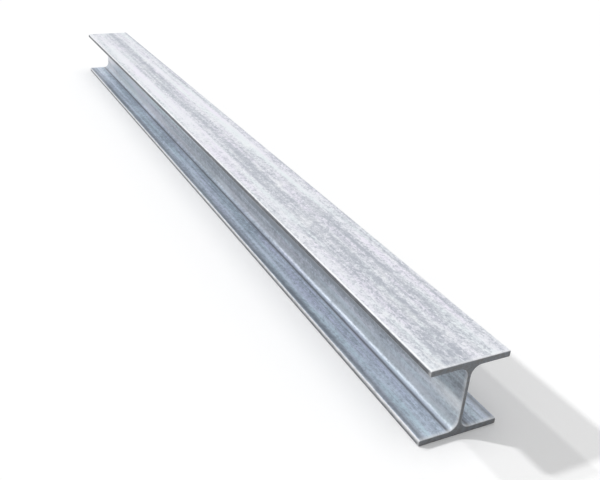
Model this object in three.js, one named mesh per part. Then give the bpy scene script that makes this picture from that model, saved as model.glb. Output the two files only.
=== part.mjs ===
// Hot-rolled wide-flange steel beam: one rolled bar, sawn to length and hot-dip galvanised.
//
// Millimetres. +X runs along the beam and +Z is up. The origin is on the underside of the
// bottom flange, under the middle of the beam.

import * as THREE from 'three';

// Section
const DEPTH = 96;
const FLANGE_WIDTH = 100;
const FLANGE_THICKNESS = 8;
const WEB_THICKNESS = 5;
const ROOT_RADIUS = 12;
const TOE_RADIUS = 1.2;

// Cut length
const LENGTH = 1500;
const END_CHAMFER = 0.6;

// Fineness of the curves
const ROOT_STEPS = 16;
const TOE_STEPS = 5;
const QUARTER_TURN = Math.PI / 2;

const GALVANISED_STEEL = {
  color: 0xb6bec6,
  roughness: 0.5,
  metalness: 0.7,
};

/** Points on an arc from one angle to another, both ends included. */
function arcPoints(centreX, centreY, radius, from, to, steps) {
  const points = [];
  for (let step = 0; step <= steps; step += 1) {
    const angle = THREE.MathUtils.lerp(from, to, step / steps);
    const x = centreX + radius * Math.cos(angle);
    const y = centreY + radius * Math.sin(angle);
    points.push(new THREE.Vector2(x, y));
  }
  return points;
}

/** The rounded toe and the root fillet on the right of the bottom flange, counter-clockwise. */
function lowerRightQuarter() {
  const toeX = FLANGE_WIDTH / 2 - TOE_RADIUS;
  const rootX = WEB_THICKNESS / 2 + ROOT_RADIUS;
  const rootY = FLANGE_THICKNESS + ROOT_RADIUS;
  return [
    ...arcPoints(toeX, TOE_RADIUS, TOE_RADIUS, -QUARTER_TURN, 0, TOE_STEPS),
    ...arcPoints(toeX, FLANGE_THICKNESS - TOE_RADIUS, TOE_RADIUS, 0, QUARTER_TURN, TOE_STEPS),
    ...arcPoints(rootX, rootY, ROOT_RADIUS, -QUARTER_TURN, -2 * QUARTER_TURN, ROOT_STEPS),
  ];
}

/** The whole section: the quarter mirrored upwards, and that half mirrored across the web. */
function beamSection() {
  const lowerRight = lowerRightQuarter();
  const upperRight = lowerRight.map((point) => new THREE.Vector2(point.x, DEPTH - point.y));
  const right = [...lowerRight, ...upperRight.reverse()];
  const left = right.map((point) => new THREE.Vector2(-point.x, point.y));
  return new THREE.Shape([...right, ...left.reverse()]);
}

/** The section run out to length, with the edges of both sawn ends lightly chamfered. */
function beamGeometry() {
  const straightLength = LENGTH - 2 * END_CHAMFER;
  const geometry = new THREE.ExtrudeGeometry(beamSection(), {
    depth: straightLength,
    bevelEnabled: true,
    bevelThickness: END_CHAMFER,
    bevelSize: END_CHAMFER,
    bevelOffset: -END_CHAMFER,
    bevelSegments: 1,
  });
  geometry.translate(0, 0, -straightLength / 2);
  geometry.rotateX(QUARTER_TURN);
  geometry.rotateZ(QUARTER_TURN);
  return geometry;
}

/** The beam as one named mesh. */
function buildBeam() {
  const beam = new THREE.Mesh(beamGeometry(), new THREE.MeshStandardMaterial(GALVANISED_STEEL));
  beam.name = 'i_beam';
  return beam;
}

const part = new THREE.Group();
part.name = 'steel_i_beam';
part.add(buildBeam());

export default part;
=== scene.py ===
"""A galvanised wide-flange steel beam, lying on its bottom flange in a plain white studio.

The beam is one rolled bar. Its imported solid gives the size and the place. The piece built here
is the same bar with its zinc on: edges rounded by the coating, runs that froze along the toes as
the beam drained, a slow waviness in the faces and saw marks on the two cut ends.

Lengths are metres, +X runs along the beam, +Z is up.
"""

import logging
import math
from dataclasses import dataclass, field
from enum import Enum

import bpy
import numpy as np
from mathutils import Matrix, Vector, geometry, noise


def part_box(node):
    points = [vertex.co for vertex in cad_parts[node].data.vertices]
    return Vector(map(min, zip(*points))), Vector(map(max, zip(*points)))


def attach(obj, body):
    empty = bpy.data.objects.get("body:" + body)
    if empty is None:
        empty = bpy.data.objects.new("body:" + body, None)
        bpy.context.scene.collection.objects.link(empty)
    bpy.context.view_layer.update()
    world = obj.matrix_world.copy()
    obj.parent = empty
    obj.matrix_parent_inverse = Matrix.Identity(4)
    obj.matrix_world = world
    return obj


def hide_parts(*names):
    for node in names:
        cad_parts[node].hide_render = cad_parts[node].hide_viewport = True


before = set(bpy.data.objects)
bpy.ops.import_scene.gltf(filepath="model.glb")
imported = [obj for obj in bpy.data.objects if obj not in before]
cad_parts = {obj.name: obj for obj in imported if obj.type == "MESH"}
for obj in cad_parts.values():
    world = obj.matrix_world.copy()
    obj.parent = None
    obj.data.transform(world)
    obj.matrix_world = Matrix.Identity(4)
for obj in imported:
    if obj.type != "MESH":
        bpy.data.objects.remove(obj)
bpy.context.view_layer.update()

MM = 0.001
QUARTER_TURN = math.pi / 2
TRIANGLE_RISE = math.sqrt(0.75)
INSIDE_ONLY = 1
BODY = "root"
NODE = "i_beam"
BEAM_NAME = "galvanised_beam"
LAYOUT_NAME = "OFBake"
LOG = logging.getLogger("steel_i_beam")

Pair = tuple[float, float]
Triple = tuple[float, float, float]
Array = np.ndarray
Numbers = float | Array
Object = bpy.types.Object
Socket = bpy.types.NodeSocket
Value = float | Socket
Tint = Triple | Socket


class Mark(Enum):
    """What each point of the beam's mesh tells the finish, one attribute each."""

    CUT = "cut_end"
    # Thick zinc on the edges and rims with a painted highlight, and painted light on the web near
    # the ends.
    EDGE = "round_edge"
    # Painted shade on the toes' faces.
    TOE = "toe_face"
    RUN = "zinc_run"
    # The channels, whose darker, bluer zinc paints their shade.
    CHANNEL_SHADE = "inside_channel"
    # The web's sides, whose greyer zinc paints their shade.
    WEB = "web_side"
    # Painted shade in the fillets, which are also glossier.
    ROOT = "root_fillet"
    # Painted shade lines at the foot of the lower fillets and inside the lower toes.
    SILT = "root_silt"


class End(Enum):
    """The two cut ends, each with its side along X."""

    FAR = -1
    NEAR = 1


class Patch(Enum):
    """Parts of the beam on its texture: left edge, bottom, width and height, as shares of it."""

    SKIN = (0.0, 0.0, 0.86, 1.0)
    FAR = (0.87, 0.005, 0.125, 0.485)
    NEAR = (0.87, 0.51, 0.125, 0.485)

    def hold(self, places: Array) -> Array:
        """Coordinates of places on the part, given from 0 to 1 across and up it."""
        return np.array(self.value[:2]) + places * np.array(self.value[2:])


class Texture(Enum):
    """The patterns of the zinc, in the order in which a mix takes them."""

    CRYSTAL = "crystal"
    FLAKE = "flake"
    GRAIN = "grain"
    MOTTLE = "mottle"
    STREAK = "streak"
    BAND = "band"
    CLOUD = "cloud"
    TINT = "tint"
    KERF = "kerf"
    RIDGE = "ridge"


class Sum(Enum):
    """Steps of arithmetic in a material, by Blender's names for them."""

    ADD = "ADD"
    TIMES = "MULTIPLY"
    TIMES_ADD = "MULTIPLY_ADD"
    LARGER = "MAXIMUM"


def placed(name: str, data: bpy.types.ID) -> Object:
    """Puts a new object in the scene.

    Args:
        name: Its name.
        data: Its mesh, light or camera.

    Returns:
        The object.
    """
    made = bpy.data.objects.new(name, data)
    bpy.context.scene.collection.objects.link(made)
    return made


# Outlines


def ramp(value: Numbers, start: float, end: float) -> Numbers:
    """Shares that go evenly from 0 at the start to 1 at the end."""
    return np.clip((value - start) / (end - start), 0, 1)


def bell(value: Numbers, middle: float, breadth: Numbers) -> Numbers:
    """Shares that are 1 in the middle and fade out on both sides of it."""
    return np.exp(-(((value - middle) / breadth) ** 2))


def arc(centre: Pair, radius: float, turn: Pair, steps: int) -> Array:
    """Points on a round stretch, both ends included, its first and last angle in quarter turns."""
    angle = np.linspace(turn[0], turn[1], steps + 1) * QUARTER_TURN
    return np.array(centre) + radius * np.stack([np.cos(angle), np.sin(angle)], axis=1)


def outward(outline: Array) -> Array:
    """Unit normals of a closed counter-clockwise outline.

    Args:
        outline: Its points.

    Returns:
        One normal for each point, pointing out of the material.
    """
    forward = np.roll(outline, -1, axis=0) - outline
    forward /= np.linalg.norm(forward, axis=1, keepdims=True)
    tangent = forward + np.roll(forward, 1, axis=0)
    tangent /= np.linalg.norm(tangent, axis=1, keepdims=True)
    return np.stack([tangent[:, 1], -tangent[:, 0]], axis=1)


def inside(points: Array, outline: Array) -> Array:
    """Which points lie inside a closed outline.

    Args:
        points: The points to test.
        outline: The outline's points.

    Returns:
        One flag for each point.
    """
    y, z = points[:, :1], points[:, 1:]
    y0, z0 = outline.T
    y1, z1 = np.roll(outline, -1, axis=0).T
    spans = (z0 > z) != (z1 > z)
    rise = np.where(z1 == z0, 1.0, z1 - z0)
    return (spans & (y < y0 + (z - z0) * (y1 - y0) / rise)).sum(axis=1) % 2 == 1


@dataclass(frozen=True)
class Section:
    """The rolled section, and how its skin is divided into points.

    Attributes:
        depth: Height over both flanges.
        width: Width of a flange.
        flange: Thickness of a flange.
        web: Thickness of the web.
        root: Radius of the fillet between web and flange.
        toe: Radius on the edges of a flange, zinc included.
        tip: How far in from the edge of a flange its toe reaches.
        edge_room: Room left outside the toes for runs of zinc.
        face_room: Room left outside the faces for their waviness.
        pitch: Widest spacing of the points on a face.
        lead: Distance from a round to the first point on the flat beside it.
        toe_steps: Chords in the round of a toe.
        root_steps: Chords in a fillet.
    """

    depth: float
    width: float
    flange: float = 8.0 * MM
    web: float = 5.0 * MM
    root: float = 12.0 * MM
    toe: float = 1.6 * MM
    tip: float = 2.5 * MM
    edge_room: float = 0.35 * MM
    face_room: float = 0.12 * MM
    pitch: float = 2.9 * MM
    lead: float = 0.5 * MM
    toe_steps: int = 6
    root_steps: int = 14

    def straight(self, start: Array, end: Array) -> Array:
        """Points along a straight stretch, both ends left out.

        Args:
            start: First corner.
            end: Last corner.

        Returns:
            The points, one row each.
        """
        run = float(np.linalg.norm(end - start))
        gaps = max(1, math.ceil((run - 2 * self.lead) / self.pitch))
        along = np.linspace(self.lead, run - self.lead, gaps + 1) / run
        return start + along[:, None] * (end - start)

    def quarter(self) -> Array:
        """The bottom flange's right half: sole, toe, inner face, root fillet and lower web.

        Returns:
            Points (y, z) from the middle of the sole to just under the middle of the web.
        """
        sole = self.face_room
        upper = self.flange - self.face_room
        face = self.web / 2 - self.face_room
        corner = self.width / 2 - self.edge_room - self.toe
        centre = (face + self.root, upper + self.root)
        low = arc((corner, sole + self.toe), self.toe, (-1, 0), self.toe_steps)
        high = arc((corner, upper - self.toe), self.toe, (0, 1), self.toe_steps)
        fillet = arc(centre, self.root, (-1, -2), self.root_steps)
        middle_sole = np.array([0.0, sole])
        middle_web = np.array([face, self.depth / 2])
        stretches = [
            middle_sole[None],
            self.straight(middle_sole, low[0]),
            low,
            self.straight(low[-1], high[0]),
            high,
            self.straight(high[-1], fillet[0]),
            fillet,
            self.straight(fillet[-1], middle_web),
        ]
        return np.concatenate(stretches)

    def outline(self) -> Array:
        """The whole section, counter-clockwise seen from the +X end.

        Returns:
            Points (y, z) of the closed outline.
        """
        lower = self.quarter()
        upper = np.stack([lower[:, 0], self.depth - lower[:, 1]], axis=1)[::-1]
        right = np.concatenate([lower, upper])
        left = right[1:-1][::-1] * np.array([-1.0, 1.0])
        return np.concatenate([right, left])

    def tips(self, outline: Array) -> Array:
        """Flags an outline's points on the toes."""
        return np.abs(outline[:, 0]) > self.width / 2 - self.tip


# Relief


@dataclass(frozen=True)
class Waves:
    """One size of unevenness.

    Attributes:
        grain: Size of the waves along each axis.
        height: How far they stand out and sink in.
        shift: Moves the pattern, so that no two are alike.
        octaves: Number of octaves.
        fade: How fast the finer octaves fade.
        gap: How much finer each octave is than the one before.
    """

    grain: Triple
    height: float
    shift: float
    octaves: int = 2
    fade: float = 0.9
    gap: float = 2.1

    def heights(self, points: Array) -> Array:
        """How far the waves stand out.

        Args:
            points: Places (x, y, z), one row each.

        Returns:
            One height for each.
        """
        scaled = points / np.array(self.grain) + self.shift
        return self.height * np.array(
            [noise.fractal(Vector(point), self.fade, self.gap, self.octaves) for point in scaled]
        )


@dataclass(frozen=True)
class Run:
    """A tear of zinc that froze on an edge of the beam.

    Attributes:
        at: Where its drop lies, along the beam.
        along: Where it lies round the section, as a length of outline.
        tail: Length of the tail behind the drop, with the sign of its side along X.
        height: How far the drop stands proud.
        breadth: Half width of the drop.
        stretch: Half length of the drop, in half widths.
        taper: How the tail runs out, less than 1 for late.
        thin: Width of the tail, as a share of the drop's.
    """

    at: float
    along: float
    tail: float
    height: float
    breadth: float
    stretch: float = 1.6
    taper: float = 0.7
    thin: float = 0.5

    def relief(self, x: Array, s: Array) -> Array:
        """How far the run stands out of the skin.

        Args:
            x: Places along the beam, as a column.
            s: Places round the section, as a row.

        Returns:
            Heights, one row for each place along the beam.
        """
        back = (x - self.at) / self.tail
        nose = bell(x, self.at, self.stretch * self.breadth)
        body = np.where(back < 0, nose, ramp(back, 1.0, 0.0) ** self.taper)
        swell = self.thin + (1 - self.thin) * nose
        return self.height * body * swell * bell(s, self.along, self.breadth * swell)


@dataclass(frozen=True)
class Drainage:
    """How the zinc ran off the toes as the beam left the bath.

    Attributes:
        count: Number of runs.
        seed: Seed for their places.
        slopes: Least and most that the skin faces up or down where a run can lie.
        first: Distance from an end to where the runs begin.
        crowding: The two shapes of their spread from there to the middle.
        stray: How far they stray round the section.
        tails: Shortest and longest tail.
        heights: Lowest and highest drop.
        breadths: Least and greatest half width of a drop.
    """

    count: int = 64
    seed: int = 11
    slopes: Pair = (0.24, 0.999)
    first: float = 4.0 * MM
    crowding: Pair = (1.0, 1.5)
    stray: float = 0.8 * MM
    tails: Pair = (14.0 * MM, 120.0 * MM)
    heights: Pair = (0.12 * MM, 0.45 * MM)
    breadths: Pair = (1.2 * MM, 2.6 * MM)

    def holds(self, normals: Array) -> Array:
        """Flags the skin's points on which a run can lie, by their normals."""
        upright = np.abs(normals[:, 1])
        return (upright > self.slopes[0]) & (upright < self.slopes[1])

    def scatter(self, places: Array, reach: float) -> list[Run]:
        """Scatters the runs, most of them near the ends.

        Args:
            places: Places round the section on which a run can lie.
            reach: Distance from the middle of the beam to its ends.

        Returns:
            The runs.
        """
        dice = np.random.default_rng(self.seed)
        runs = []
        for _ in range(self.count):
            side = 1.0 if dice.random() < 0.5 else -1.0
            inset = self.first + dice.beta(*self.crowding) * reach
            runs.append(
                Run(
                    at=side * (reach - inset),
                    along=float(dice.choice(places)) + dice.normal(0.0, self.stray),
                    tail=-side * dice.uniform(*self.tails),
                    height=dice.uniform(*self.heights),
                    breadth=dice.uniform(*self.breadths),
                )
            )
        return runs


@dataclass(frozen=True)
class SawnFace:
    """The face that the saw left on a cut end.

    Attributes:
        grain: Spacing of its points.
        margin: Room between its rim and the points inside, in spacings.
        pitch: Spacing of the saw marks.
        depth: Depth of the saw marks.
        slant: How far the marks slant.
        wander: How far they bend, in spacings.
        merge: Distance below which two points are one.
    """

    grain: float = 1.15 * MM
    margin: float = 0.6
    pitch: float = 3.1 * MM
    depth: float = 0.08 * MM
    slant: float = 0.22
    wander: Waves = Waves((1.0, 30.0 * MM, 30.0 * MM), 0.5, 5.0, octaves=1)
    merge: float = 1e-7

    def points(self, rim: Array) -> Array:
        """Points spread evenly over the inside of the face.

        Args:
            rim: Its outline, as (y, z).

        Returns:
            Points (y, z), in rows that are offset by half a spacing.
        """
        low, high = rim.min(axis=0), rim.max(axis=0)
        rise = self.grain * TRIANGLE_RISE
        rows = []
        for number, z in enumerate(np.arange(low[1], high[1], rise)):
            y = np.arange(low[0], high[0], self.grain) + (number % 2) * self.grain / 2
            rows.append(np.stack([y, np.full(len(y), z)], axis=1))
        grid = np.concatenate(rows)
        return grid[inside(grid, rim - self.margin * self.grain * outward(rim))]

    def depths(self, fill: Array, end: End) -> Array:
        """How deep the saw went.

        Args:
            fill: Points of the face, as (y, z).
            end: The end that it closes.

        Returns:
            One depth for each point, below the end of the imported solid.
        """
        bent = self.wander.heights(np.insert(fill, 0, end.value, axis=1))
        phase = (fill[:, 1] + self.slant * fill[:, 0]) / self.pitch + bent
        return self.depth * (0.5 + 0.5 * np.sin(2 * math.pi * phase))

    def close(
        self, ring: Array, end: End, reach: float, first: int, spare: int
    ) -> tuple[Array, list[list[int]]]:
        """Closes one end of the skin.

        Args:
            ring: The last ring of the skin at that end.
            end: The end.
            reach: Distance from the middle of the beam to its ends.
            first: Number of the ring's first point in the mesh.
            spare: Number that the first new point gets in the mesh.

        Returns:
            The new points, and triangles that join them to the ring.
        """
        rim = ring[:, 1:]
        fill = self.points(rim)
        flat = [Vector(point) for point in np.concatenate([rim, fill])]
        border = list(range(len(rim)))
        _, _, made, origins, _, _ = geometry.delaunay_2d_cdt(
            flat, [], [border], INSIDE_ONLY, self.merge
        )
        source = [origin[0] for origin in origins]
        numbers = [first + k if k < len(rim) else spare + k - len(rim) for k in source]
        faces = [[numbers[k] for k in face][:: end.value] for face in made]
        x = end.value * (reach - self.depths(fill, end))
        return np.insert(fill, 0, x, axis=1), faces


# The beam


@dataclass(frozen=True)
class Marking:
    """Where the marks of the finish lie, round the section and along the beam.

    Attributes:
        glow_reach: How far in from the upper toes their painted highlight reaches.
        glow_fall: How fast it fades on the way.
        lower_highlight_heights: Heights between which a painted highlight comes in on the lower
            toes.
        lower_highlight_turn: How far they face sideways where it begins and where it is full.
        rim_reach: How far in from the cut ends their pale rims reach, thick zinc with a painted
            highlight.
        rim_level: How full it is at their rims.
        toe_turn: How far the toes face up or down where their rolled face ends.
        channel_inset: How far in from the flanges' edges the channels' zinc begins.
        channel_slack: How far past the flanges' inner faces it still counts.
        root_peak: Brings the fillets' painted shade and gloss to full where it peaks.
        shade_line_foot: How far out from the web a painted shade line lies at the foot of the
            fillets, in root radii.
        shade_line_breadth: Half width of the line.
        shade_line_rise: How far above and below the flange the painted shade lines can lie, in root
            radii.
        shade: How far in from the lower toes a soft shade lies, and its half width.
        shade_level: How full the shade is.
        flat: How far up or down a face looks that takes the shade.
        patch: Height and half height of the painted light on the web near the ends.
        patch_reach: How far in from the ends it reaches.
        run_full: Height from which a run shows fully.
    """

    glow_reach: float = 2.2 * MM
    glow_fall: float = 1.5
    lower_highlight_heights: Pair = (3.0 * MM, 6.0 * MM)
    lower_highlight_turn: Pair = (0.3, 0.8)
    rim_reach: float = 5.0 * MM
    rim_level: float = 0.8
    toe_turn: float = 1 / 1.3
    channel_inset: float = 1.2 * MM
    channel_slack: float = 0.3 * MM
    root_peak: float = 2.6
    shade_line_foot: float = 0.86
    shade_line_breadth: float = 2.0 * MM
    shade_line_rise: float = 0.4
    shade: Pair = (4.5 * MM, 4.0 * MM)
    shade_level: float = 0.7
    flat: float = 0.99
    patch: Pair = (36.0 * MM, 9.0 * MM)
    patch_reach: float = 55.0 * MM
    run_full: float = 0.3 * MM

    def of_section(self, beam: "Beam") -> dict[Mark, Array]:
        """The marks that are the same all along the beam.

        Args:
            beam: The beam.

        Returns:
            Values for each point of the outline.
        """
        section = beam.section
        out, up = np.abs(beam.outline[:, 0]), beam.outline[:, 1]
        sideways, upright = np.abs(beam.normals).T
        tips = section.tips(beam.outline)
        middle = section.depth / 2
        inset = section.width / 2 - section.edge_room - out
        # Painted highlights along the upper flange's edges and on the upper half of the lower toes.
        glow = ramp(inset, self.glow_reach, section.toe) ** self.glow_fall * upright
        lower_toe_highlight = ramp(up, *self.lower_highlight_heights) * ramp(sideways, *self.lower_highlight_turn)
        between = np.abs(up - middle) < middle - section.flange + self.channel_slack
        channel = between & (out < section.width / 2 - self.channel_inset)
        # Painted shade lines along the foot of the lower fillets and inside the lower toes.
        low = np.abs(up - section.flange) < self.shade_line_rise * section.root
        line = bell(out, section.web / 2 + self.shade_line_foot * section.root, self.shade_line_breadth)
        shade = self.shade_level * bell(inset, *self.shade)
        return {
            Mark.EDGE: np.where(up > middle, glow, tips * lower_toe_highlight),
            # Painted shade on the toes' faces.
            Mark.TOE: tips * ramp(upright, self.toe_turn, 0.0),
            # The channels and the web's sides take darker, bluer zinc as painted shade.
            Mark.CHANNEL_SHADE: channel,
            Mark.WEB: channel * sideways**2,
            # Painted shade in the fillets, strongest on their web side.
            Mark.ROOT: channel * self.root_peak * sideways**2 * upright,
            Mark.SILT: low * np.maximum(line, shade * (upright > self.flat)),
        }

    def of_skin(
        self, level: dict[Mark, Array], up: Array, away: Array, runs: Array
    ) -> dict[Mark, Array]:
        """The marks of the whole skin.

        Args:
            level: The marks that are the same all along the beam, and that of the cut ends.
            up: Heights of the outline's points.
            away: Distance of each ring from its end, as a column.
            runs: Height of the runs, one row for each ring.

        Returns:
            Values for each ring and point of the outline.
        """
        marks = {mark: np.broadcast_to(values, runs.shape) for mark, values in level.items()}
        # The cut ends' rims: thick zinc with a painted highlight.
        rim = self.rim_level * ramp(away, self.rim_reach, 0.0)
        # Painted light: a pale patch on the web's sides near the ends.
        patch = bell(away, 0.0, self.patch_reach) * bell(up, *self.patch)
        pale = np.maximum(rim, patch * marks[Mark.WEB])
        marks[Mark.EDGE] = np.maximum(marks[Mark.EDGE], pale)
        marks[Mark.RUN] = ramp(runs, 0.0, self.run_full)
        return marks


@dataclass
class Beam:
    """The rolled beam as one closed mesh: the drawn-out skin and its two sawn ends.

    Attributes:
        low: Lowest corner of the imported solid.
        high: Its highest corner.
        end_round: Radius that the zinc gives the rims of the cut ends.
        end_steps: Chords in that round.
        fine_gap: Spacing of the rings at an end.
        coarse_gap: Spacing of the rings along the middle.
        growth: How fast the one grows into the other.
        waves: Swells, orange peel and streaks in the faces.
        drainage: The runs of zinc.
        sawn: The cut ends' faces.
        marking: The marks that the finish reads.
    """

    low: Vector
    high: Vector
    end_round: float = 0.9 * MM
    end_steps: int = 5
    fine_gap: float = 1.2 * MM
    coarse_gap: float = 5.4 * MM
    growth: float = 1.13
    waves: tuple[Waves, ...] = (
        Waves((90.0 * MM, 34.0 * MM, 34.0 * MM), 0.05 * MM, 3.0),
        Waves((15.0 * MM, 9.0 * MM, 9.0 * MM), 0.03 * MM, 17.0),
        Waves((260.0 * MM, 5.0 * MM, 5.0 * MM), 0.02 * MM, 31.0),
    )
    drainage: Drainage = Drainage()
    sawn: SawnFace = SawnFace()
    marking: Marking = Marking()
    section: Section = field(init=False)
    outline: Array = field(init=False)
    normals: Array = field(init=False)
    along: Array = field(init=False)
    runs: list[Run] = field(init=False)

    def __post_init__(self) -> None:
        """Lays out the section and scatters the runs."""
        self.section = Section(depth=self.high.z - self.low.z, width=self.high.y - self.low.y)
        self.outline = self.section.outline()
        self.normals = outward(self.outline)
        steps = np.linalg.norm(np.roll(self.outline, -1, axis=0) - self.outline, axis=1)
        self.along = np.concatenate([[0.0], np.cumsum(steps)])
        wet = self.section.tips(self.outline) & self.drainage.holds(self.normals)
        self.runs = self.drainage.scatter(self.along[:-1][wet], self.high.x)

    def stations(self) -> Array:
        """Places of the rings along the beam, close together at the ends.

        Returns:
            Places from one end to the other, the rounds of the ends left out.
        """
        gap = self.fine_gap
        inward = [0.0]
        while gap < self.coarse_gap:
            inward.append(inward[-1] + gap)
            gap *= self.growth
        end = self.high.x - self.end_round - np.array(inward)
        count = math.ceil(2 * end[-1] / self.coarse_gap)
        middle = np.linspace(-end[-1], end[-1], count + 1)[1:-1]
        return np.concatenate([-end, middle, end[::-1]])

    def relief(self, x: Array) -> tuple[Array, Array]:
        """How far the zinc stands out of the smooth skin.

        Args:
            x: Places of the rings.

        Returns:
            Heights for each ring and outline point, and the part of them that is runs.
        """
        points = np.empty((len(x), len(self.outline), 3))
        points[..., 0] = x[:, None]
        points[..., 1:] = self.outline
        waves = sum(waves.heights(points.reshape(-1, 3)) for waves in self.waves)
        runs = sum(run.relief(x[:, None], self.along[None, :-1]) for run in self.runs)
        return waves.reshape(runs.shape) + runs, runs

    def skin(self) -> tuple[Array, dict[Mark, Array]]:
        """The rings of the skin, with the rounds that lead into both cut ends.

        Returns:
            The points ring by ring, and their marks.
        """
        x = self.stations()
        height, runs = self.relief(x)
        outlines = self.outline + height[..., None] * self.normals
        turn = np.linspace(0, 1, self.end_steps + 1)[1:]
        angle = turn * QUARTER_TURN
        inset = self.end_round * (1 - np.cos(angle))[:, None, None] * self.normals
        reach = self.high.x - self.end_round * (1 - np.sin(angle))
        places = np.concatenate([-reach[::-1], x, reach])[:, None]
        outlines = np.concatenate([outlines[0] - inset[::-1], outlines, outlines[-1] - inset])
        rims = np.ones((self.end_steps, 1))
        runs = np.concatenate([runs[0] * rims, runs, runs[-1] * rims])
        column = np.broadcast_to(places[..., None], (*runs.shape, 1))
        rings = np.concatenate([column, outlines], axis=2)
        level = self.marking.of_section(self)
        level[Mark.CUT] = np.concatenate([turn[::-1], 0 * x, turn])[:, None] ** 2
        away = self.high.x - np.abs(places)
        marks = self.marking.of_skin(level, self.outline[:, 1], away, runs)
        return np.clip(rings, self.low, self.high), marks

    def skin_faces(self, rings: int) -> Array:
        """The quads that join the rings, facing out.

        Args:
            rings: Number of rings.

        Returns:
            Four point numbers for each quad, ring by ring.
        """
        across = np.arange(len(self.outline))
        after = np.roll(across, -1)
        this = np.arange(rings - 1)[:, None] * len(across)
        following = this + len(across)
        corners = [this + across, this + after, following + after, following + across]
        return np.stack(corners, axis=2).reshape(-1, 4)

    def skin_layout(self, x: Array) -> Array:
        """Where the quads lie on the texture, unrolled round the section.

        Args:
            x: Places of the rings.

        Returns:
            Coordinates of their corners, quad by quad.
        """
        along = (x - self.low.x) / (self.high.x - self.low.x)
        grid = np.stack(np.meshgrid(self.along / self.along[-1], along), axis=2)
        corners = [grid[:-1, :-1], grid[:-1, 1:], grid[1:, 1:], grid[1:, :-1]]
        return Patch.SKIN.hold(np.stack(corners, axis=2).reshape(-1, 2))

    def build(self) -> Object:
        """Makes the beam's mesh.

        Returns:
            The beam.
        """
        rings, marks = self.skin()
        count, size = rings.shape[:2]
        points = rings.reshape(-1, 3)
        faces = self.skin_faces(count).tolist()
        foot, span = np.array(self.low), np.array(self.high - self.low)
        layout = [self.skin_layout(rings[:, 0, 0])]
        for end, ring in ((End.FAR, 0), (End.NEAR, count - 1)):
            fill, triangles = self.sawn.close(
                rings[ring], end, self.high.x, ring * size, len(points)
            )
            points = np.concatenate([points, fill])
            faces += triangles
            places = (points[np.concatenate(triangles)] - foot) / span
            layout.append(Patch[end.name].hold(places[:, 1:]))
        mesh = bpy.data.meshes.new(BEAM_NAME)
        mesh.from_pydata(points.tolist(), [], faces)
        mesh.shade_smooth()
        corners = np.concatenate(layout).ravel()
        mesh.uv_layers.new(name=LAYOUT_NAME).uv.foreach_set("vector", corners)
        for mark, values in marks.items():
            whole = np.full(len(points), float(mark is Mark.CUT), np.float32)
            whole[: count * size] = values.ravel()
            mesh.attributes.new(mark.value, "FLOAT", "POINT").data.foreach_set("value", whole)
        return placed(BEAM_NAME, mesh)

    def dress(self, beam: Object, zinc: bpy.types.Material) -> None:
        """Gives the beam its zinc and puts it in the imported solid's place.

        Args:
            beam: The beam's object.
            zinc: The zinc.
        """
        beam.data.materials.append(zinc)
        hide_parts(NODE)
        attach(beam, BODY)


# Finishes


class Sketch:
    """Lays shader nodes in a tree, one short call for each."""

    def __init__(self, owner: bpy.types.Material | bpy.types.World) -> None:
        """Takes a tree of nodes and empties it.

        Args:
            owner: The material or world that has it.
        """
        owner.use_nodes = True
        self.tree = owner.node_tree
        self.tree.nodes.clear()

    def node(
        self, kind: str, inputs: dict[str, Value | Tint] | None = None, **settings: object
    ) -> bpy.types.Node:
        """Adds a node.

        Args:
            kind: The node's Blender type, without ShaderNode before it.
            inputs: Values or sockets for its inputs, by name.
            settings: Values for its own settings.

        Returns:
            The node.
        """
        made = self.tree.nodes.new("ShaderNode" + kind)
        for name, value in settings.items():
            setattr(made, name, value)
        for name, value in (inputs or {}).items():
            self.feed(value, made.inputs[name])
        return made

    def feed(self, value: Value | Tint, socket: Socket) -> None:
        """Links a socket to another, or sets it to a value.

        Args:
            value: The socket or value it takes.
            socket: The socket that takes it.
        """
        if isinstance(value, bpy.types.NodeSocket):
            self.tree.links.new(value, socket)
        elif socket.type == "RGBA":
            socket.default_value = (*value, 1.0)
        else:
            socket.default_value = value

    def reckon(self, step: Sum, *numbers: Value | Tint, kind: str = "Math") -> Socket:
        """One step of arithmetic.

        Args:
            step: The step.
            numbers: Its numbers, in order.
            kind: Math, or VectorMath for triples.

        Returns:
            The result.
        """
        made = self.node(kind, operation=step.value)
        for value, socket in zip(numbers, made.inputs):
            self.feed(value, socket)
        return made.outputs[0]

    def times(self, first: Value, second: Value) -> Socket:
        """Two numbers multiplied."""
        return self.reckon(Sum.TIMES, first, second)

    def step(self, value: Socket, band: Pair, to: Pair = (0.0, 1.0)) -> Socket:
        """Eases from one level to another as a value passes a band.

        Args:
            value: The value.
            band: Where the band begins and ends.
            to: The levels before and after it.

        Returns:
            The level.
        """
        limits = dict(zip(("From Min", "From Max", "To Min", "To Max"), (*band, *to)))
        inputs = {"Value": value} | limits
        return self.node("MapRange", inputs, interpolation_type="SMOOTHSTEP").outputs[0]

    def blend(self, share: Value, first: Tint, second: Tint) -> Socket:
        """Blends two colours.

        Args:
            share: How much of the second shows.
            first: First colour.
            second: Second colour.

        Returns:
            The colour.
        """
        made = self.node("Mix", data_type="RGBA")
        sockets = {socket.identifier: socket for socket in made.inputs}
        self.feed(share, sockets["Factor_Float"])
        self.feed(first, sockets["A_Color"])
        self.feed(second, sockets["B_Color"])
        return next(socket for socket in made.outputs if socket.identifier == "Result_Color")


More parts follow.
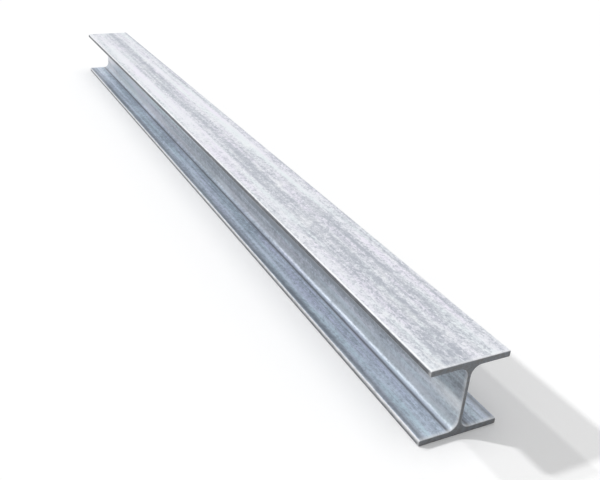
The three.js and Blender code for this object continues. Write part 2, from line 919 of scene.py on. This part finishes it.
@dataclass(frozen=True)
class Grain:
    """A pattern, of soft noise or of crystal-like cells.

    Attributes:
        size: Its size along each axis.
        shift: Moves it, so that no two are alike.
        detail: Octaves of the noise.
        roughness: Share that each octave keeps.
        distortion: How far the noise bends itself.
    """

    size: Triple
    shift: float = 0.0
    detail: float = 3.0
    roughness: float = 0.6
    distortion: float = 0.0

    def on(self, s: Sketch, place: Socket) -> Socket:
        """Coordinates that give a pattern of unit size this one's size."""
        scale, shift = tuple(1 / size for size in self.size), (self.shift,) * 3
        return s.node("Mapping", {"Vector": place, "Scale": scale, "Location": shift}).outputs[0]

    def noise(self, s: Sketch, place: Socket) -> Socket:
        """Lays the pattern as soft noise, with values from 0 to 1."""
        shape = {"Detail": self.detail, "Roughness": self.roughness, "Distortion": self.distortion}
        return s.node("TexNoise", shape | {"Vector": self.on(s, place), "Scale": 1.0}).outputs[0]

    def cells(self, s: Sketch, place: Socket) -> tuple[Socket, Socket]:
        """Lays the pattern as cells: a number for each, and the distance from its middle."""
        made = s.node("TexVoronoi", {"Vector": self.on(s, place), "Scale": 1.0})
        return made.outputs["Color"], made.outputs["Distance"]


CRYSTALS = Grain((10.0 * MM, 8.0 * MM, 8.0 * MM))
FLAKES = Grain((5.0 * MM, 3.0 * MM, 3.0 * MM))
NOISES = {
    Texture.GRAIN: Grain((2.6 * MM, 2.0 * MM, 2.0 * MM)),
    Texture.MOTTLE: Grain((11.0 * MM, 5.0 * MM, 5.0 * MM), 4.0, 4.0, 0.7),
    Texture.STREAK: Grain((260.0 * MM, 4.5 * MM, 4.5 * MM), 0.0, 4.0),
    Texture.BAND: Grain((900.0 * MM, 17.0 * MM, 17.0 * MM), 2.72, 2.0, 0.55),
    Texture.CLOUD: Grain((150.0 * MM, 52.0 * MM, 52.0 * MM), 8.3, 4.0, 0.6, 0.6),
    Texture.TINT: Grain((220.0 * MM, 16.0 * MM, 16.0 * MM), 9.0),
    Texture.KERF: Grain((30.0 * MM, 30.0 * MM, 0.5 * MM), 1.0),
}


class Skin(Sketch):
    """A sketch of the zinc, with the point's place, the mesh's marks and the patterns in it."""

    def __init__(self, owner: bpy.types.Material) -> None:
        """Lays what the zinc is mixed from.

        Args:
            owner: The zinc's material.
        """
        super().__init__(owner)
        self.place = self.node("TexCoord").outputs["Object"]
        self.marks = {
            mark: self.node("Attribute", attribute_name=mark.value).outputs["Fac"]
            for mark in Mark
        }
        bent = self.bent_place()
        crystal, ridge = CRYSTALS.cells(self, bent)
        flake, _ = FLAKES.cells(self, bent)
        cells = {Texture.CRYSTAL: crystal, Texture.RIDGE: ridge, Texture.FLAKE: flake}
        noises = {texture: grain.noise(self, self.place) for texture, grain in NOISES.items()}
        self.patterns = cells | noises

    def bent_place(
        self, grain: float = 6.0 * MM, reach: float = 4.0 * MM, detail: float = 2.0
    ) -> Socket:
        """The place pushed about by noise, so that cells on it lose their straight edges.

        Args:
            grain: Size of the noise.
            reach: How far it pushes.
            detail: Octaves of the noise.

        Returns:
            The new place.
        """
        inputs = {"Vector": self.place, "Scale": 1 / grain, "Detail": detail}
        push = self.node("TexNoise", inputs).outputs["Color"]
        return self.reckon(Sum.TIMES_ADD, push, (reach,) * 3, self.place, kind="VectorMath")


@dataclass(frozen=True)
class Mix:
    """Patterns added up.

    Attributes:
        weights: Their weights.
        swing: Sums that count as 0 and as 1.
        of: The patterns, where they aren't the first ones.
    """

    weights: tuple[float, ...]
    swing: Pair = (-0.5, 0.5)
    of: tuple[Texture, ...] = tuple(Texture)

    def total(self, s: Skin) -> Socket:
        """Adds the patterns up.

        Args:
            s: The sketch.

        Returns:
            Their sum, taken round the middle of each, so that it lies about 0.
        """
        level = s.reckon(Sum.ADD, 0.0, -0.5 * sum(self.weights))
        for texture, weight in zip(self.of, self.weights):
            level = s.reckon(Sum.TIMES_ADD, s.patterns[texture], weight, level)
        return level

    def level(self, s: Skin) -> Socket:
        """The sum, eased from 0 to 1 over its swing."""
        return s.step(self.total(s), self.swing)


@dataclass(frozen=True)
class Zinc:
    """One state of the zinc, from its darkest crystals to its palest.

    Attributes:
        dull: The darkest crystals.
        bright: The palest crystals.
        lilac: The palest crystals of some clouds.
        teal: Those of others.
        turns: Values of the tint's pattern where teal is full, none shows and lilac is full.
        tinge: How full the tints are.
    """

    dull: Triple
    bright: Triple
    lilac: Triple
    teal: Triple
    turns: Triple = (0.36, 0.50, 0.64)
    tinge: float = 0.75

    def shades(self, s: Skin, level: Socket) -> Socket:
        """Lays the zinc's colours.

        Args:
            s: The sketch.
            level: How pale the zinc is, from 0 to 1.

        Returns:
            The colour.
        """
        tint = s.patterns[Texture.TINT]
        plain, lilac, teal = (
            s.blend(level, self.dull, palest) for palest in (self.bright, self.lilac, self.teal)
        )
        colour = s.blend(s.step(tint, self.turns[1:], (0.0, self.tinge)), plain, lilac)
        return s.blend(s.step(tint, self.turns[:2], (self.tinge, 0.0)), colour, teal)


@dataclass(frozen=True)
class Weather:
    """Chalky patches with a tide line, and a few specks of ash.

    Attributes:
        white: Colour of chalky zinc, also painted on the edges as highlight.
        ash_and_shade: Colour of ash, also painted as shade lines low in the channels.
        chalk: The pattern of the patches.
        patch_band: Its values between which a patch comes in.
        tide: Those where the line round a patch begins, is full and ends.
        patch_level: How full the patches are.
        tide_level: How much the line adds.
        specks: The pattern of the specks.
        speck_band: Distances from its cells' middles between which a speck goes out.
        chance_band: Numbers of its cells between which specks come in.
        speck_level: How full the specks are.
    """

    white: Triple = (0.88, 0.89, 0.90)
    ash_and_shade: Triple = (0.16, 0.17, 0.19)
    chalk: Grain = Grain((52.0 * MM, 24.0 * MM, 24.0 * MM), 4.0, 6.0, 0.65, 0.8)
    patch_band: Pair = (0.54, 0.72)
    tide: Triple = (0.535, 0.545, 0.57)
    patch_level: float = 0.55
    tide_level: float = 0.25
    specks: Grain = Grain((17.0 * MM, 12.0 * MM, 12.0 * MM), 6.0)
    speck_band: Pair = (0.04, 0.10)
    chance_band: Pair = (0.62, 0.68)
    speck_level: float = 0.6

    def over(self, s: Skin, colour: Socket) -> tuple[Socket, Socket]:
        """Lays the weather over clean zinc.

        Args:
            s: The sketch.
            colour: The colour of the clean zinc.

        Returns:
            The colour, and how chalky the point is.
        """
        chalk = self.chalk.noise(s, s.place)
        patch = s.step(chalk, self.patch_band)
        tide = s.times(s.step(chalk, self.tide[:2]), s.step(chalk, self.tide[1:], (1.0, 0.0)))
        pale = s.reckon(Sum.TIMES_ADD, tide, self.tide_level, s.times(patch, self.patch_level))
        colour = s.blend(pale, colour, self.white)
        chance, away = self.specks.cells(s, s.place)
        speck = s.times(s.step(away, self.speck_band, (1.0, 0.0)), s.step(chance, self.chance_band))
        return s.blend(s.times(speck, self.speck_level), colour, self.ash_and_shade), patch


@dataclass(frozen=True)
class HotDipZinc:
    """Zinc left by hot dipping: chalky outside, darker and bluer in the channels as painted shade,
    dull on the cut ends.

    Attributes:
        outside: The zinc on the outer faces.
        channel: The zinc in the two channels, darker and bluer than outside, as painted shade.
        web: The greyer zinc on the sides of the web, darker still, as painted shade.
        toe: The rough rolled faces of the toes, painted near black as shade.
        cut: The cut ends.
        weather: Chalk and ash; their colours also paint the edges' highlight and the shade lines.
        open_mix: How pale the outer faces are.
        hollow_mix: How pale the channels are.
        rough_mix: How patchy the toes and the cut ends are.
        relief_mix: The fine relief.
        root_level: How dark the fillets' painted shade is.
        dull_levels: How much dull zinc shows on the toes and on the cut ends.
        edge_band: Values of the mottle between which the pale edges, thick zinc with a painted
            highlight, grow fuller.
        edge_levels: How full they are before and after.
        run_level: How pale the runs are.
        roughness: That of the darkest and of the palest crystals.
        chalk_roughness: How much chalk adds.
        root_gloss: Share of the roughness that the fillets lose.
        kerf_height: How much fine saw marks add to the relief.
        relief_height: Height of the relief.
        relief_level: How much of it shows.
        metallic: How much of the surface mirrors as metal.
    """

    outside: Zinc = Zinc(
        (0.40, 0.425, 0.48), (0.785, 0.795, 0.845), (0.805, 0.775, 0.875), (0.745, 0.80, 0.825)
    )
    channel: Zinc = Zinc(
        (0.295, 0.347, 0.416), (0.725, 0.808, 0.93), (0.725, 0.755, 0.95), (0.645, 0.79, 0.875)
    )
    web: Zinc = Zinc(
        (0.297, 0.324, 0.36), (0.66, 0.71, 0.775), (0.695, 0.677, 0.757), (0.60, 0.695, 0.737)
    )
    toe: Triple = (0.085, 0.091, 0.10)
    cut: Triple = (0.20, 0.198, 0.196)
    weather: Weather = Weather()
    open_mix: Mix = Mix((0.10, 0.42, 1.0, 0.42, 0.7, 1.8, 0.5), (-0.37, 0.37))
    hollow_mix: Mix = Mix((0.08, 0.26, 0.60, 0.45, 0.92, 1.1, 0.6), (-0.36, 0.36))
    rough_mix: Mix = Mix((1.0, 1.2), (-0.25, 0.35), (Texture.KERF, Texture.MOTTLE))
    relief_mix: Mix = Mix(
        (0.5, 0.6, 0.5, 0.3), of=(Texture.GRAIN, Texture.STREAK, Texture.MOTTLE, Texture.RIDGE)
    )
    root_level: float = 0.5
    dull_levels: Pair = (0.3, 0.6)
    edge_band: Pair = (0.35, 0.65)
    edge_levels: Pair = (0.6, 0.9)
    run_level: float = 0.35
    roughness: Pair = (0.54, 0.42)
    chalk_roughness: float = 0.15
    root_gloss: float = 0.2
    kerf_height: float = 1.5
    relief_height: float = 0.4 * MM
    relief_level: float = 0.3
    metallic: float = 0.22

    def material(self) -> bpy.types.Material:
        """Builds the material.

        Returns:
            The material.
        """
        made = bpy.data.materials.new("hot_dip_zinc")
        s = Skin(made)
        level = self.open_mix.level(s)
        colour, chalk = self.weather.over(s, self.outside.shades(s, level))
        clean = s.step(level, (0.0, 1.0), self.roughness)
        rough = s.reckon(Sum.TIMES_ADD, chalk, self.chalk_roughness, clean)
        loss = s.reckon(Sum.TIMES_ADD, s.marks[Mark.ROOT], -self.root_gloss, 1.0)
        kerf = s.times(s.patterns[Texture.KERF], s.marks[Mark.CUT])
        height = s.reckon(Sum.TIMES_ADD, kerf, self.kerf_height, self.relief_mix.total(s))
        relief = {"Height": height, "Strength": self.relief_level, "Distance": self.relief_height}
        inputs = {
            "Base Color": self.wear_highlights_and_shade(s, self.shaded_channels(s, colour)),
            "Roughness": s.times(rough, loss),
            "Normal": s.node("Bump", relief).outputs[0],
            "Metallic": self.metallic,
        }
        surface = s.node("BsdfPrincipled", inputs)
        s.node("OutputMaterial", {"Surface": surface.outputs[0]})
        return made

    def shaded_channels(self, s: Skin, colour: Socket) -> Socket:
        """Lays the channels' zinc, with painted shade: darker, bluer zinc, darker fillets, dark
        lines low down.

        Args:
            s: The sketch.
            colour: The colour outside.

        Returns:
            The colour.
        """
        level = self.hollow_mix.level(s)
        channel, web = self.channel.shades(s, level), self.web.shades(s, level)
        # Darker, bluer zinc in the channels and greyer zinc on the web: painted shade.
        hollow = s.blend(s.marks[Mark.WEB], channel, web)
        colour = s.blend(s.marks[Mark.CHANNEL_SHADE], colour, hollow)
        # Painted shade in the fillets.
        colour = s.blend(s.times(s.marks[Mark.ROOT], self.root_level), colour, self.web.dull)
        # Painted shade lines, in the ash colour, along the lower fillets' feet and inside the lower
        # toes.
        return s.blend(s.marks[Mark.SILT], colour, self.weather.ash_and_shade)

    def wear_highlights_and_shade(self, s: Skin, colour: Socket) -> Socket:
        """Lays the toes' painted shade, the pale edges with their painted highlight, the runs, and
        the cut ends.

        Args:
            s: The sketch.
            colour: The colour of the faces.

        Returns:
            The colour.
        """
        rough = self.rough_mix.level(s)
        on_toe, on_cut = (s.times(rough, level) for level in self.dull_levels)
        toe = s.blend(on_toe, self.toe, self.outside.dull)
        cut = s.blend(on_cut, self.cut, self.channel.dull)
        full = s.step(s.patterns[Texture.MOTTLE], self.edge_band, self.edge_levels)
        # Painted shade on the toes' faces, patched with dull zinc.
        colour = s.blend(s.marks[Mark.TOE], colour, toe)
        # Painted highlight on the edges, partly thick zinc.
        colour = s.blend(s.times(s.marks[Mark.EDGE], full), colour, self.weather.white)
        colour = s.blend(s.times(s.marks[Mark.RUN], self.run_level), colour, self.weather.white)
        return s.blend(s.marks[Mark.CUT], colour, cut)


# Studio


@dataclass(frozen=True)
class Lamp:
    """A soft lamp, far enough away to light the whole beam alike.

    Attributes:
        name: Its name.
        towards: Its direction, seen from the beam.
        level: Its light on a face square to it, where 1 shows a colour as written.
        softness: How wide it looks from the beam, in degrees.
        glint: Whether gloss shows it.
    """

    name: str
    towards: Triple
    level: float
    softness: float
    glint: bool = True

    def hang(self) -> Object:
        """Hangs the lamp.

        Returns:
            The lamp.
        """
        data = bpy.data.lights.new(self.name, "SUN")
        data.energy = self.level * math.pi
        data.angle = math.radians(self.softness)
        lamp = placed(self.name, data)
        lamp.visible_glossy = self.glint
        lamp.rotation_mode = "QUATERNION"
        lamp.rotation_quaternion = Vector(self.towards).to_track_quat("Z", "Y")
        return lamp


@dataclass(frozen=True)
class Studio:
    """A white floor and backdrop with soft light.

    Attributes:
        reach: Distance from the middle of the floor to its edges.
        seen: Colour of the floor as seen, directly or in the metal.
        bounce: Colour of the floor as a reflector of light onto the beam.
        sky: Colour of the light from all round.
        fill: Level of that light.
        lamps: The lamps.
    """

    reach: float = 30.0
    seen: Triple = (0.98, 0.98, 0.98)
    bounce: Triple = (0.35, 0.35, 0.36)
    sky: Triple = (1.0, 1.0, 1.0)
    fill: float = 0.41
    lamps: tuple[Lamp, ...] = (
        Lamp("overhead", (0.0, 0.1, 1.0), 0.25, 50.0),
        Lamp("sky", (-0.68, -0.36, 0.65), 0.17, 3.0),
        Lamp("key", (-0.6, -0.735, 0.68), 0.48, 3.0, glint=False),
    )

    def looked_at(self, s: Sketch) -> Socket:
        """1 where a ray shows a thing directly, mirrored or through glass, and 0 elsewhere.

        Args:
            s: The sketch.

        Returns:
            The flag.
        """
        path = s.node("LightPath").outputs
        shown = s.reckon(Sum.LARGER, path["Is Camera Ray"], path["Is Glossy Ray"])
        return s.reckon(Sum.LARGER, shown, path["Is Transmission Ray"])

    def floor(self) -> Object:
        """Lays the floor.

        Returns:
            The floor.
        """
        mesh = bpy.data.meshes.new("floor")
        square = ((-1, -1), (1, -1), (1, 1), (-1, 1))
        corners = [(x * self.reach, y * self.reach, 0.0) for x, y in square]
        mesh.from_pydata(corners, [], [range(len(corners))])
        paint = bpy.data.materials.new("white_floor")
        s = Sketch(paint)
        colour = s.blend(self.looked_at(s), self.bounce, self.seen)
        surface = s.node("BsdfDiffuse", {"Color": colour})
        s.node("OutputMaterial", {"Surface": surface.outputs[0]})
        mesh.materials.append(paint)
        floor = placed("floor", mesh)
        return floor

    def light(self) -> list[Object]:
        """Sets the light from all round and hangs the lamps.

        Returns:
            The lamps.
        """
        world = bpy.data.worlds.new("studio")
        bpy.context.scene.world = world
        s = Sketch(world)
        strength = s.reckon(Sum.TIMES_ADD, self.looked_at(s), 1 - self.fill, self.fill)
        sky = s.node("Background", {"Color": self.sky, "Strength": strength})
        s.node("OutputWorld", {"Surface": sky.outputs[0]})
        return [lamp.hang() for lamp in self.lamps]


@dataclass(frozen=True)
class Viewpoint:
    """The camera, placed from the near end's upper left corner.

    Attributes:
        offset: Distance back from the near end, out from the left toes and up from the top.
        turns: How far it turns in from the beam's line, looks down and leans, in degrees.
        lens: Focal length on a sensor 36 wide, in millimetres.
        shift: Shift of the picture, as a share of its width.
    """

    offset: Triple = (0.464, -0.410, 0.446)
    turns: Triple = (25.9, 26.2, 3.1)
    lens: float = 45.2
    shift: Pair = (0.053, -0.030)

    def build(self, corner: Vector) -> Object:
        """Sets up the camera.

        Args:
            corner: The near end's upper left corner.

        Returns:
            The camera.
        """
        yaw, pitch, roll = map(math.radians, self.turns)
        level = Vector((-math.cos(yaw), math.sin(yaw), 0.0))
        forward = level * math.cos(pitch) + Vector((0.0, 0.0, -math.sin(pitch)))
        flat_right = forward.cross(Vector((0.0, 0.0, 1.0))).normalized()
        right = flat_right * math.cos(roll) + flat_right.cross(forward) * math.sin(roll)
        turn = Matrix((right, right.cross(forward), -forward)).transposed()
        data = bpy.data.cameras.new("view")
        data.lens = self.lens
        data.shift_x, data.shift_y = self.shift
        camera = placed("view", data)
        camera.matrix_world = Matrix.Translation(corner + Vector(self.offset)) @ turn.to_4x4()
        bpy.context.scene.camera = camera
        return camera


def main() -> None:
    """Builds the beam, then the studio round it."""
    logging.basicConfig(level=logging.INFO, format="%(name)s: %(message)s")
    bpy.context.scene.view_settings.view_transform = "Standard"
    low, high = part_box(NODE)
    beam = Beam(low, high)
    piece = beam.build()
    beam.dress(piece, HotDipZinc().material())
    LOG.info("%s: %d faces, %d runs of zinc", piece.name, len(piece.data.polygons), len(beam.runs))
    studio = Studio()
    LOG.info("%s laid", studio.floor().name)
    for lamp in studio.light():
        LOG.info("%s hung", lamp.name)
    camera = Viewpoint().build(Vector((high.x, low.y, high.z)))
    LOG.info("%s set up", camera.name)


if __name__ == "__main__":
    main()
